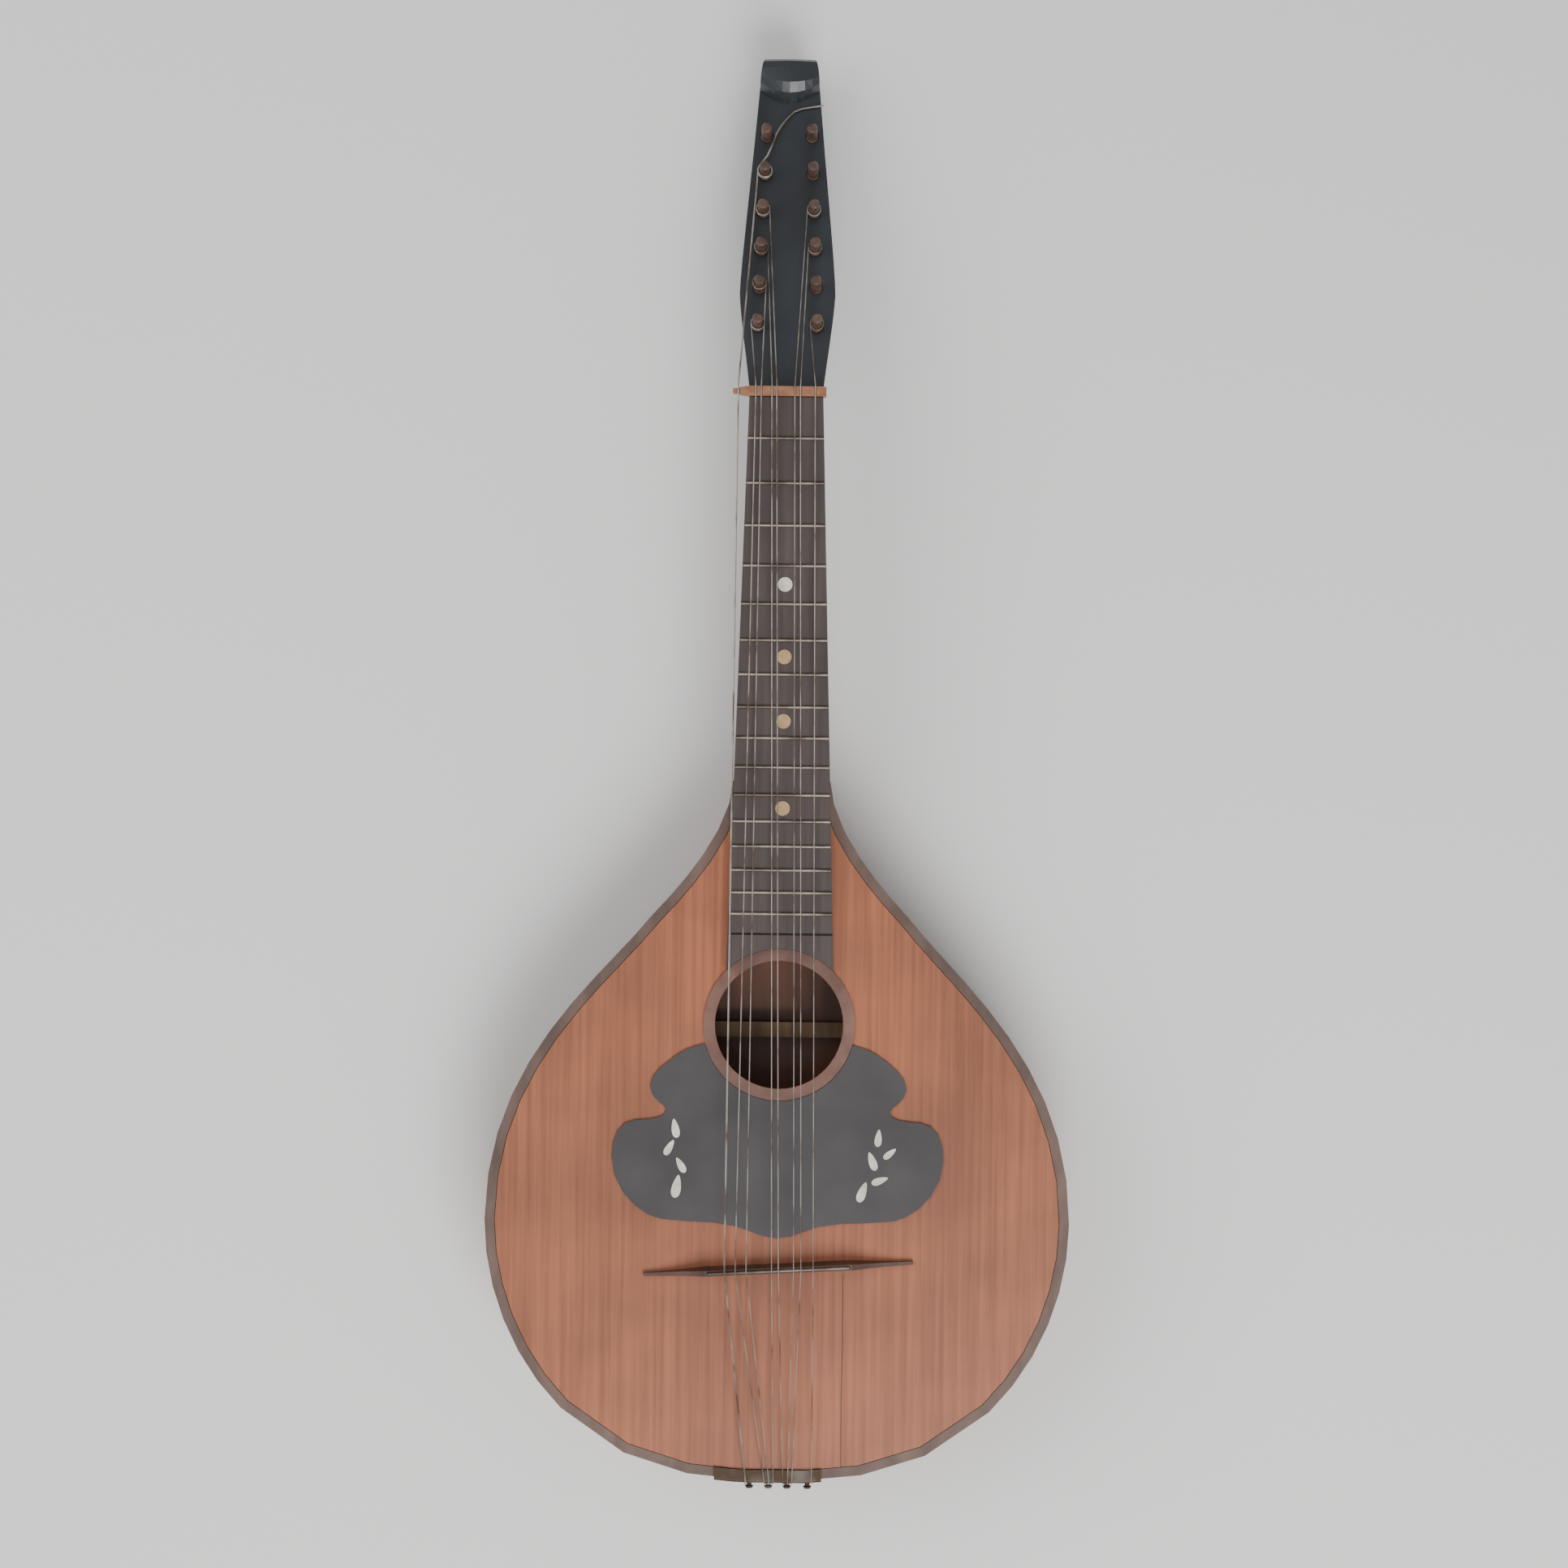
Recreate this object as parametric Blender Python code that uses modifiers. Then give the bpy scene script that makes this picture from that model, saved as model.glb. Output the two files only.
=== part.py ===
# Waldzither: a flat-backed, teardrop-bodied cittern with a fixed neck, a floating bridge,
# wooden friction pegs and steel strings hooked on pins at the tail.
# It lies on its back: z = 0 is the back, +Y runs along the neck, +X is the treble side.
# All lengths below are millimetres, angles are degrees.
import math

import bmesh
import bpy
from mathutils import Matrix, Vector

MM = 0.001

# Air left between pieces that touch
gap = 0.3

# Body shell
body_depth = 66.0
top_thickness = 3.0
back_thickness = 3.0
rib_thickness = 2.4
binding_width = 5.0
edge_round = 0.8

# Body outline: right half, from the tail to the neck
tail_y = -131.2
lower_corner_x = 110.8
lower_corner_y = -95.3
body_half_width = 151.2
widest_y = 1.9
shoulder_x = 66.2
shoulder_y = 160.1
neck_joint_y = 230.0

# Soundhole with its ring
soundhole_y = 104.0
soundhole_radius = 33.2
ring_width = 6.0
ring_thickness = 0.9

# Pickguard
pickguard_thickness = 0.9
pickguard_half_width = 85.8
pickguard_low_y = -6.4

# Fretboard and frets
nut_front_y = 428.4
board_end_y = 131.0
board_width_nut = 38.2
board_width_end = 55.4
board_thickness = 5.0
fret_count = 16
fret_start_y = 431.1
fret_rule_length = 471.7
fret_ratio = 0.9484
fret_width = 1.7
fret_height = 1.0
tang_width = 0.6
tang_depth = 1.6

# Nut
nut_thickness = 5.0
nut_height = 7.4
nut_left_end = -27.6
nut_right_end = 20.6
notch_depth = 0.6

# Bridge and its saddle wire
bridge_x = 1.1
bridge_y = -21.9
bridge_length = 139.5
bridge_skew = 3.1
bridge_height = 9.6
bridge_top_length = 73.0
bridge_foot_width = 5.2
bridge_top_width = 2.9
bridge_tip_width = 1.6
bridge_tip_height = 2.0
bridge_arch_length = 44.0
bridge_arch_height = 1.6
saddle_width = 1.5
saddle_height = 1.3

# Neck
neck_depth_nut = 18.0
neck_depth_heel = 22.5
heel_back_z = 3.0
neck_end_y = 434.0
tenon_width = 18.0
tenon_length = 26.0
tenon_height = 44.0

# Headstock: lengths measured along the head from the end of the neck
head_angle = 12.0
head_thickness = 14.0
head_half_nut = 19.3
head_half_max = 24.9
head_max_at = 50.0
head_half_top = 15.8
head_length = 164.0
finial_length = 15.0
finial_rise = 11.0
finial_drop = 7.0
finial_half_top = 13.6

# Tuning pegs
peg_first_at = 33.0
peg_spacing = 20.9
peg_rows_half_first = 15.3
peg_rows_half_last = 11.9
pegs_per_side = 6
peg_post_radius = 2.8
peg_post_height = 13.0
peg_shank_radius_front = 3.4
peg_shank_radius_back = 3.9
peg_collar_radius = 5.2
peg_collar_thickness = 2.2
peg_stem_length = 3.0
peg_button_length = 14.0
peg_button_width = 12.5
peg_button_thickness = 4.6
peg_hole_radius = 0.8

# Blocks, linings and braces inside the body
tail_block_half_width = 32.0
tail_block_length = 16.0
neck_block_y = 170.0
lining_width = 5.5
lining_height = 12.0
brace_width = 8.0
brace_height = 13.0
brace_end_height = 4.0
top_brace_upper_y = 151.0
top_brace_lower_y = 56.0
back_brace_upper_y = 98.0
back_brace_lower_y = -46.0

# Tail plate with its hitch pins
plate_left = -31.0
plate_right = 24.5
plate_metal = 1.0
plate_clearance = 0.8
plate_flange = 5.6
plate_drop = 19.0
plate_fold_radius = 1.6
pin_places = (-12.8, -2.9, 6.8, 17.4)
pin_radius = 1.3
pin_length = 5.0
pin_head_radius = 2.3
pin_head_thickness = 1.2
pin_below_top = 12.0

# Strings
string_clear_saddle = 0.4
string_loop_steps = 24
string_sides_resolution = 1
# Each string: radius, x at the saddle, x at the nut, pin, x from the pin at the edge, place on the pin,
# peg as (side, number from the nut), side of the post that it meets, turns, turn pitch
strings = (
    (0.50, -26.6, -24.8, 0, -1.9, 0, (-1, 5), -1, 2.1, 1.50),
    (0.32, -21.1, -15.8, 1, -2.2, 0, (-1, 1), -1, 2.6, 1.10),
    (0.32, -15.5, -12.9, 1, 0.3, 2, (-1, 2), 1, 2.6, 1.10),
    (0.30, -2.4, -7.4, 1, 2.5, 1, (-1, 3), 1, 2.6, 1.10),
    (0.30, 1.1, -4.9, 2, -2.2, 0, (-1, 4), 1, 2.6, 1.10),
    (0.27, 8.9, 4.4, 2, 0.3, 2, (1, 4), -1, 2.6, 1.05),
    (0.27, 12.7, 7.3, 2, 2.5, 1, (1, 3), -1, 2.6, 1.05),
    (0.27, 19.0, 14.9, 3, 1.9, 0, (1, 1), -1, 2.6, 1.05),
)
# Height of the first turn over the face of the head, with the strings that pass over a neighbour's turns
coil_start = 2.0
coil_start_of = {3: 5.4}
# Loose end of the first string on the face of the head: x, distance along the head, height over the face
loose_end = (
    (-11.4, 124.5, 5.4), (-9.0, 130.5, 4.8), (-7.0, 137.0, 3.9), (-4.4, 142.3, 2.9), (-1.2, 147.0, 2.0),
    (2.4, 151.0, 1.3), (6.6, 152.8, 1.1), (11.8, 153.8, 1.1), (17.8, 154.6, 1.5))


# Heights that follow from the sizes above
top_z = body_depth
board_bottom_z = top_z + gap
board_top_z = board_bottom_z + board_thickness
pin_z = top_z - pin_below_top
ring_outer_radius = soundhole_radius + ring_width
bridge_bottom_z = top_z + gap
saddle_seat_z = bridge_bottom_z + bridge_height + gap
saddle_top_z = saddle_seat_z + saddle_height
nut_notch_z = board_bottom_z + nut_height - notch_depth
board_slope = (board_width_end - board_width_nut) / 2 / (nut_front_y - board_end_y)


def board_half_width(y):
    """Half width of the tapered fretboard at a place along the neck."""
    return board_width_nut / 2 + (nut_front_y - y) * board_slope


# Scene, collections and materials
for old in list(bpy.data.objects):
    bpy.data.objects.remove(old, do_unlink=True)

parts = bpy.data.collections.new("waldzither")
cutters = bpy.data.collections.new("cutters")
bpy.context.scene.collection.children.link(parts)
bpy.context.scene.collection.children.link(cutters)


def finish(name, colour, roughness, metallic=0.0):
    """A plain Principled material in the colour of one kind of piece."""
    mat = bpy.data.materials.new(name)
    mat.use_nodes = True
    shader = mat.node_tree.nodes["Principled BSDF"]
    shader.inputs["Base Color"].default_value = (*colour, 1.0)
    shader.inputs["Roughness"].default_value = roughness
    shader.inputs["Metallic"].default_value = metallic
    return mat


spruce = finish("varnished_spruce", (0.36, 0.11, 0.04), 0.4)
maple = finish("stained_maple", (0.20, 0.07, 0.03), 0.4)
raw_wood = finish("bare_softwood", (0.55, 0.38, 0.20), 0.8)
edge_wood = finish("edge_wood", (0.12, 0.07, 0.05), 0.5)
ring_wood = finish("ring_wood", (0.20, 0.08, 0.05), 0.5)
dark_plate = finish("dark_plate", (0.05, 0.045, 0.05), 0.35)
board_wood = finish("board_wood", (0.06, 0.04, 0.035), 0.55)
black_lacquer = finish("black_lacquer", (0.02, 0.02, 0.024), 0.35)
fret_metal = finish("fret_metal", (0.30, 0.26, 0.22), 0.45, 1.0)
nut_wood = finish("nut_wood", (0.40, 0.17, 0.08), 0.5)
bridge_wood = finish("bridge_wood", (0.10, 0.04, 0.02), 0.5)
peg_wood = finish("peg_wood", (0.09, 0.05, 0.035), 0.45)
steel = finish("string_steel", (0.45, 0.42, 0.38), 0.35, 1.0)
rusty_steel = finish("rusty_steel", (0.10, 0.08, 0.06), 0.6, 0.8)


def place(obj, mat, collection=parts):
    """Give an object its material and its collection."""
    obj.data.materials.clear()
    obj.data.materials.append(mat)
    collection.objects.link(obj)
    return obj


def metres(points):
    return [tuple(c * MM for c in p) for p in points]


# Curves through a few knots, used for every curved outline
def bezier_point(p0, p1, p2, p3, t):
    s = 1 - t
    return p0 * s ** 3 + p1 * 3 * s * s * t + p2 * 3 * s * t * t + p3 * t ** 3


def bezier_slope(p0, p1, p2, p3, t):
    s = 1 - t
    return (p1 - p0) * 3 * s * s + (p2 - p1) * 6 * s * t + (p3 - p2) * 3 * t * t


def curve_through(knots, inset=0.0):
    """Points along knots given as (x, y, heading, handle before, handle after, steps to the next).
    The points move to the left of the heading by inset, which is inwards on a right half."""
    points = []
    for start, end in zip(knots, knots[1:]):
        p0 = Vector(start[:2])
        p3 = Vector(end[:2])
        leave = math.radians(start[2])
        arrive = math.radians(end[2])
        p1 = p0 + Vector((math.cos(leave), math.sin(leave))) * start[4]
        p2 = p3 - Vector((math.cos(arrive), math.sin(arrive))) * end[3]
        last = 1 if end is knots[-1] else 0
        for i in range(start[5] + last):
            t = i / start[5]
            along = bezier_slope(p0, p1, p2, p3, min(max(t, 0.001), 0.999)).normalized()
            inward = Vector((-along.y, along.x))
            points.append(tuple(bezier_point(p0, p1, p2, p3, t) + inward * inset))
    return points


def crossing(a, b, axis, value):
    t = (value - a[axis]) / (b[axis] - a[axis])
    return tuple(a[i] + (b[i] - a[i]) * t for i in range(len(a)))


def clip(points, axis, value, keep_above):
    """The part of a line on one side of a value, with its cut points."""
    kept = []
    for a, b in zip(points, points[1:]):
        a_in = (a[axis] >= value) == keep_above
        b_in = (b[axis] >= value) == keep_above
        if a_in:
            kept.append(a)
        if a_in != b_in:
            kept.append(crossing(a, b, axis, value))
    if (points[-1][axis] >= value) == keep_above:
        kept.append(points[-1])
    return kept


def width_at(points, y):
    """Half width of a right-half outline at a height."""
    for a, b in zip(points, points[1:]):
        if min(a[1], b[1]) <= y <= max(a[1], b[1]) and a[1] != b[1]:
            return crossing(a, b, 1, y)[0]
    return points[-1][0]


def mirrored(points):
    return [(-x, y) for x, y in reversed(points) if x > 0]


def body_half(inset):
    """Right half of the body outline, moved inwards, cut square at the neck joint."""
    knots = (
        (0.0, tail_y, 0.0, 0.0, 13.2, 4),
        (lower_corner_x, lower_corner_y, 44.7, 58.1, 37.0, 6),
        (body_half_width, widest_y, 90.0, 34.5, 82.2, 10),
        (shoulder_x, shoulder_y, 128.4, 43.7, 4.9, 7),
        (board_half_width(neck_joint_y), neck_joint_y + 2.0, 90.8, 32.0, 0.0, 0),
    )
    return clip(curve_through(knots, inset), 1, neck_joint_y, False)


# Shapes
def solid_copy(obj, name):
    """A curve or modified object made a plain welded mesh, keeping its place."""
    graph = bpy.context.evaluated_depsgraph_get()
    mesh = bpy.data.meshes.new_from_object(obj.evaluated_get(graph))
    mesh.transform(obj.matrix_world)
    weld = bmesh.new()
    weld.from_mesh(mesh)
    bmesh.ops.remove_doubles(weld, verts=weld.verts, dist=0.000005)
    bmesh.ops.recalc_face_normals(weld, faces=weld.faces)
    weld.to_mesh(mesh)
    weld.free()
    bpy.data.objects.remove(obj, do_unlink=True)
    return bpy.data.objects.new(name, mesh)


def extruded(name, loops, low, high, frame=None):
    """Outlines in a plane, filled and extruded between two heights; frame turns the plane in space."""
    curve = bpy.data.curves.new(name, "CURVE")
    curve.dimensions = "2D"
    curve.fill_mode = "BOTH"
    curve.extrude = (high - low) / 2 * MM
    for loop in loops:
        spline = curve.splines.new("POLY")
        spline.points.add(len(loop) - 1)
        for point, (x, y) in zip(spline.points, loop):
            point.co = (x * MM, y * MM, 0.0, 1.0)
        spline.use_cyclic_u = True
    obj = bpy.data.objects.new(name, curve)
    lift = Matrix.Translation((0.0, 0.0, (low + high) / 2 * MM))
    obj.matrix_world = (frame or Matrix.Identity(4)) @ lift
    cutters.objects.link(obj)
    bpy.context.view_layer.update()
    return solid_copy(obj, name)


def loft(name, rings):
    """A closed skin through rings of equal count, in millimetres, with flat ends."""
    shape = bmesh.new()
    rows = [[shape.verts.new(Vector(p) * MM) for p in ring] for ring in rings]
    count = len(rows[0])
    for a, b in zip(rows, rows[1:]):
        for i in range(count):
            j = (i + 1) % count
            shape.faces.new((a[i], a[j], b[j], b[i]))
    shape.faces.new(list(reversed(rows[0])))
    shape.faces.new(rows[-1])
    bmesh.ops.recalc_face_normals(shape, faces=shape.faces)
    mesh = bpy.data.meshes.new(name)
    shape.to_mesh(mesh)
    shape.free()
    return bpy.data.objects.new(name, mesh)


def as_cutter(obj):
    cutters.objects.link(obj)
    obj.hide_render = True
    obj.display_type = "WIRE"
    return obj


def boolean(obj, other, operation):
    mod = obj.modifiers.new(operation.lower(), "BOOLEAN")
    mod.operation = operation
    mod.solver = "EXACT"
    mod.object = other
    return mod


def cylinder(name, radius, low, high, x, y, sides, radius_top=None, frame=None):
    """An upright cylinder or cone between two heights."""
    shape = bmesh.new()
    bmesh.ops.create_cone(
        shape, cap_ends=True, segments=sides, radius1=radius * MM,
        radius2=(radius if radius_top is None else radius_top) * MM, depth=(high - low) * MM)
    mesh = bpy.data.meshes.new(name)
    shape.to_mesh(mesh)
    shape.free()
    mesh.transform((frame or Matrix.Identity(4)) @ Matrix.Translation((x * MM, y * MM, (low + high) / 2 * MM)))
    return bpy.data.objects.new(name, mesh)


def box(name, low, high):
    shape = bmesh.new()
    bmesh.ops.create_cube(shape, size=1.0)
    size = Vector(high) - Vector(low)
    centre = (Vector(high) + Vector(low)) / 2
    mesh = bpy.data.meshes.new(name)
    shape.to_mesh(mesh)
    shape.free()
    mesh.transform(Matrix.Translation(centre * MM) @ Matrix.Diagonal((*(size * MM), 1.0)))
    return bpy.data.objects.new(name, mesh)


def rounded(obj, width, segments=2, angle=50.0):
    mod = obj.modifiers.new("rounded", "BEVEL")
    mod.width = width * MM
    mod.segments = segments
    mod.limit_method = "ANGLE"
    mod.angle_limit = math.radians(angle)
    return mod


def smooth(obj, angle=35.0):
    obj.data.shade_smooth()
    obj.data.set_sharp_from_angle(angle=math.radians(angle))
    return obj


# Plane turned so that drawn x is world Y and drawn y is world Z, extruded along world X
SIDE_VIEW = Matrix(((0, 0, 1, 0), (1, 0, 0, 0), (0, 1, 0, 0), (0, 0, 0, 1)))
# Plane turned so that drawn x stays world X and drawn y is world Z, extruded towards -Y
FRONT_VIEW = Matrix(((1, 0, 0, 0), (0, 0, -1, 0), (0, 1, 0, 0), (0, 0, 0, 1)))


# Soundboard, back and edge binding
def full_outline(inset):
    right = body_half(inset)
    return right + mirrored(right)


def circle(x, y, radius, steps):
    turn = 2 * math.pi / steps
    return [(x + radius * math.cos(i * turn), y + radius * math.sin(i * turn)) for i in range(steps)]


board_outline = full_outline(binding_width + gap)
soundboard = extruded(
    "soundboard", (board_outline, circle(0.0, soundhole_y, soundhole_radius, 48)), top_z - top_thickness, top_z)
place(soundboard, spruce)

back_plate = extruded("back_plate", (full_outline(0.0),), 0.0, back_thickness)
rounded(back_plate, edge_round)
place(back_plate, maple)

binding_outer = full_outline(0.0)
binding_inner = full_outline(binding_width)
neck_end = len(body_half(0.0))
inner_end = len(body_half(binding_width))
binding_loop = binding_outer[neck_end:] + binding_outer[:neck_end]
binding_loop += list(reversed(binding_inner[inner_end:] + binding_inner[:inner_end]))
edge_binding = extruded("edge_binding", (binding_loop,), top_z - top_thickness, top_z)
rounded(edge_binding, edge_round)
place(edge_binding, edge_wood)


# Ribs: one bent strip for each side, between the two plates
def side_strip(outer_inset, inner_inset, tail_x, neck_y):
    """Flat outline of a strip that follows the right side of the body."""
    outer = clip(clip(body_half(outer_inset), 0, tail_x, True), 1, neck_y, False)
    inner = clip(clip(body_half(inner_inset), 0, tail_x, True), 1, neck_y, False)
    return outer + list(reversed(inner))


def both_sides(name, loop, low, high, mat):
    for side, sign in (("right", 1), ("left", -1)):
        outline = [(sign * x, y) for x, y in loop]
        place(extruded(name + "_" + side, (outline,), low, high), mat)


rib_low = back_thickness + gap
rib_high = top_z - top_thickness - gap
both_sides("rib", side_strip(0.0, rib_thickness, gap / 2, neck_joint_y), rib_low, rib_high, maple)

# Linings: strips that widen the gluing edges of the ribs, between the two blocks
inside = rib_thickness + gap
lining_loop = side_strip(inside, inside + lining_width, tail_block_half_width + gap, neck_block_y - gap)
both_sides("top_lining", lining_loop, rib_high - lining_height, rib_high, raw_wood)
both_sides("back_lining", lining_loop, rib_low, rib_low + lining_height, raw_wood)

# Tail block and neck block, shaped to the inside of the ribs
tail_curve = clip(clip(body_half(inside), 1, widest_y, False), 0, tail_block_half_width, False)
tail_front = tail_y + inside + tail_block_length
tail_corner = (tail_block_half_width, tail_front)
tail_loop = tail_curve + [tail_corner, (-tail_corner[0], tail_front)]
tail_loop += [(-x, y) for x, y in reversed(tail_curve[1:])]
tail_block = extruded("tail_block", (tail_loop,), rib_low, rib_high)
place(tail_block, raw_wood)

neck_block_side = clip(body_half(inside), 1, neck_block_y, True)
neck_block_side = [p for p in neck_block_side if p[0] < body_half_width]
neck_block = extruded("neck_block", (neck_block_side + mirrored(neck_block_side),), rib_low, rib_high)
tenon_low = (rib_low + rib_high - tenon_height) / 2
tenon_high = tenon_low + tenon_height
mortise = box(
    "mortise",
    (-tenon_width / 2 - gap, neck_joint_y - tenon_length - gap, tenon_low - gap),
    (tenon_width / 2 + gap, neck_joint_y + 1.0, tenon_high + gap))
boolean(neck_block, as_cutter(mortise), "DIFFERENCE")
place(neck_block, raw_wood)


# Braces: bars across the plates with lowered ends
def brace(name, y, plate_face_z, inward):
    half = body_half(inside + lining_width + gap)
    reach = min(width_at(half, y - brace_width / 2), width_at(half, y + brace_width / 2))
    slope = 24.0
    loop = (
        (-reach, 0.0), (reach, 0.0), (reach, brace_end_height), (reach - slope, brace_height),
        (slope - reach, brace_height), (-reach, brace_end_height))
    loop = [(x, plate_face_z + inward * z) for x, z in loop]
    frame = Matrix.Translation((0.0, y * MM, 0.0)) @ FRONT_VIEW
    obj = extruded(name, (loop,), -brace_width / 2, brace_width / 2, frame)
    return place(obj, raw_wood)


brace("top_brace_upper", top_brace_upper_y, rib_high, -1)
brace("top_brace_lower", top_brace_lower_y, rib_high, -1)
brace("back_brace_upper", back_brace_upper_y, rib_low, 1)
brace("back_brace_lower", back_brace_lower_y, rib_low, 1)

# Ring round the soundhole, laid on the soundboard
ring_low = top_z + gap
soundhole_ring = extruded(
    "soundhole_ring",
    (circle(0.0, soundhole_y, ring_outer_radius, 48), circle(0.0, soundhole_y, soundhole_radius, 48)),
    ring_low, ring_low + ring_thickness)
place(soundhole_ring, ring_wood)

# Pickguard: lobed plate whose upper edge follows the ring
pickguard_ring = ring_outer_radius + gap
pickguard_horn = math.radians(-15.0)
horn = (pickguard_ring * math.cos(pickguard_horn), soundhole_y + pickguard_ring * math.sin(pickguard_horn))
pickguard_knots = (
    (0.0, pickguard_low_y, 0.0, 0.0, 8.0, 3),
    (21.0, -0.4, 15.0, 7.0, 12.0, 3),
    (60.0, 3.0, 8.0, 14.0, 10.0, 5),
    (pickguard_half_width, 35.0, 90.0, 18.0, 10.0, 4),
    (74.0, 53.9, 176.0, 8.0, 9.0, 4),
    (57.8, 59.2, 90.0, 4.0, 3.0, 4),
    (66.3, 71.5, 91.0, 7.0, 7.0, 4),
    (52.0, 88.2, 142.0, 8.0, 5.0, 3),
    (*horn, 165.0, 5.0, 0.0, 0),
)
pickguard_right = curve_through(pickguard_knots)
arc_steps = 10
for step in range(1, arc_steps + 1):
    a = pickguard_horn - (math.pi / 2 + pickguard_horn) * step / arc_steps
    pickguard_right.append((pickguard_ring * math.cos(a), soundhole_y + pickguard_ring * math.sin(a)))
pickguard_loop = pickguard_right[:-1] + [(0.0, soundhole_y - pickguard_ring)]
pickguard_loop += [(-x, y) for x, y in reversed(pickguard_right[1:-1])]
pickguard = extruded("pickguard", (pickguard_loop,), top_z + gap, top_z + gap + pickguard_thickness)
place(pickguard, dark_plate)


# Fretboard: tapered board, slotted across, hollowed at its end round the ring
def fret_y(number):
    return fret_start_y - fret_rule_length * (1 - fret_ratio ** number)


slot_half = tang_width / 2 + gap
slot_depth = tang_depth + gap
profile = [(board_end_y, board_bottom_z), (nut_front_y - gap, board_bottom_z), (nut_front_y - gap, board_top_z)]
for number in range(1, fret_count + 2):
    y = fret_y(number)
    profile += [
        (y + slot_half, board_top_z), (y + slot_half, board_top_z - slot_depth),
        (y - slot_half, board_top_z - slot_depth), (y - slot_half, board_top_z)]
profile.append((board_end_y, board_top_z))
fretboard = extruded("fretboard", (profile,), -1000.0, 1000.0, SIDE_VIEW)
for vertex in fretboard.data.vertices:
    vertex.co.x *= board_half_width(vertex.co.y / MM) * MM
hollow = cylinder(
    "board_hollow", ring_outer_radius + gap, board_bottom_z - 2.0, board_top_z + 2.0, 0.0, soundhole_y, 64)
boolean(fretboard, as_cutter(hollow), "DIFFERENCE")
place(fretboard, board_wood)

# Frets: a half-round crown on a tang that stands in its slot
crown_base = gap
crown = [
    (fret_width / 2 * math.cos(a * math.pi / 6), crown_base + fret_height * math.sin(a * math.pi / 6))
    for a in range(7)]
fret_profile = crown + [
    (-tang_width / 2, crown_base), (-tang_width / 2, -tang_depth), (tang_width / 2, -tang_depth),
    (tang_width / 2, crown_base)]
for number in range(1, fret_count + 1):
    half = board_half_width(fret_y(number)) - 0.3
    fret = extruded("fret_%02d" % number, (fret_profile,), -half, half, SIDE_VIEW)
    fret.location = (0.0, fret_y(number) * MM, board_top_z * MM)
    place(fret, fret_metal)


# Nut: notched bar with a thin tip beyond the neck on the bass side
def nut_profile():
    top = board_bottom_z + nut_height
    points = [(nut_right_end, board_bottom_z), (nut_right_end, top)]
    for radius, _, x, *_ in reversed(strings):
        half = radius + gap
        points += [(x + half, top), (x + half * 0.7, nut_notch_z), (x - half * 0.7, nut_notch_z), (x - half, top)]
    points += [(nut_left_end, top), (nut_left_end, board_bottom_z)]
    return points


nut_centre_y = nut_front_y + nut_thickness / 2
nut = extruded(
    "nut", (nut_profile(),), -nut_thickness / 2, nut_thickness / 2,
    Matrix.Translation((0.0, nut_centre_y * MM, 0.0)) @ FRONT_VIEW)
tip_start = -board_width_nut / 2 * MM
split = bmesh.new()
split.from_mesh(nut.data)
bmesh.ops.bisect_plane(
    split, geom=split.verts[:] + split.edges[:] + split.faces[:], dist=0.000001, plane_co=(tip_start, 0.0, 0.0),
    plane_no=(1.0, 0.0, 0.0))
split.to_mesh(nut.data)
split.free()
for vertex in nut.data.vertices:
    if vertex.co.x < tip_start:
        share = (tip_start - vertex.co.x) / (tip_start - nut_left_end * MM)
        vertex.co.y = nut_centre_y * MM + (vertex.co.y - nut_centre_y * MM) * (1 - 0.6 * share)
place(nut, nut_wood)


# Neck: rounded back that swells into a heel as wide and deep as the body
def section(width, depth, squareness, steps=9):
    """Flat-topped cross-section as (x, depth below the face); squareness 2 is round, 8 nearly square."""
    points = []
    for i in range(steps + 1):
        a = math.pi * i / steps
        c, s = math.cos(a), math.sin(a)
        x = math.copysign(abs(c) ** (2 / squareness), c) * width
        points.append((x, abs(s) ** (2 / squareness) * depth))
    return points


heel_depth = top_z - heel_back_z
heel_stations = (
    (0.0, 1.0, 9.0), (3.0, 0.86, 6.0), (8.0, 0.60, 4.4), (15.0, 0.33, 3.4), (24.0, 0.14, 2.8), (36.0, 0.03, 2.4),
    (50.0, 0.0, 2.2), (120.0, 0.0, 2.2))
neck_start_y = neck_joint_y + gap
neck_rings = []
for along, share, squareness in heel_stations:
    y = neck_start_y + along
    even = neck_depth_heel + (neck_depth_nut - neck_depth_heel) * (y - neck_start_y) / (neck_end_y - neck_start_y)
    depth = even + (heel_depth - even) * share
    neck_rings.append([(x, y, top_z - d) for x, d in section(board_half_width(y), depth, squareness)])
neck_rings.append([
    (x, neck_end_y, top_z - d) for x, d in section(board_half_width(neck_end_y), neck_depth_nut, 2.2)])
neck = loft("neck", neck_rings)
tenon = box(
    "tenon", (-tenon_width / 2, neck_joint_y - tenon_length, tenon_low),
    (tenon_width / 2, neck_start_y + 8.0, tenon_high))
boolean(neck, as_cutter(tenon), "UNION")
place(smooth(neck), maple)

# Headstock frame: x across, y along the head, z out of its face
tilt = math.radians(head_angle)
HEAD = Matrix.Translation((0.0, neck_end_y * MM, top_z * MM)) @ Matrix.Rotation(-tilt, 4, "X")


def on_head(x, along, out):
    """World place, in millimetres, of a point given on the head."""
    return tuple(c / MM for c in HEAD @ Vector((x * MM, along * MM, out * MM)))


head_knots = (
    (head_half_nut, 0.0, 84.0, 0.0, 14.0, 6),
    (head_half_max, head_max_at, 88.0, 12.0, 10.0, 8),
    (head_half_top, head_length, 94.0, 30.0, 6.0, 4),
    (finial_half_top, head_length + finial_length, 104.0, 6.0, 0.0, 0),
)
head_outline = curve_through(head_knots)


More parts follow.
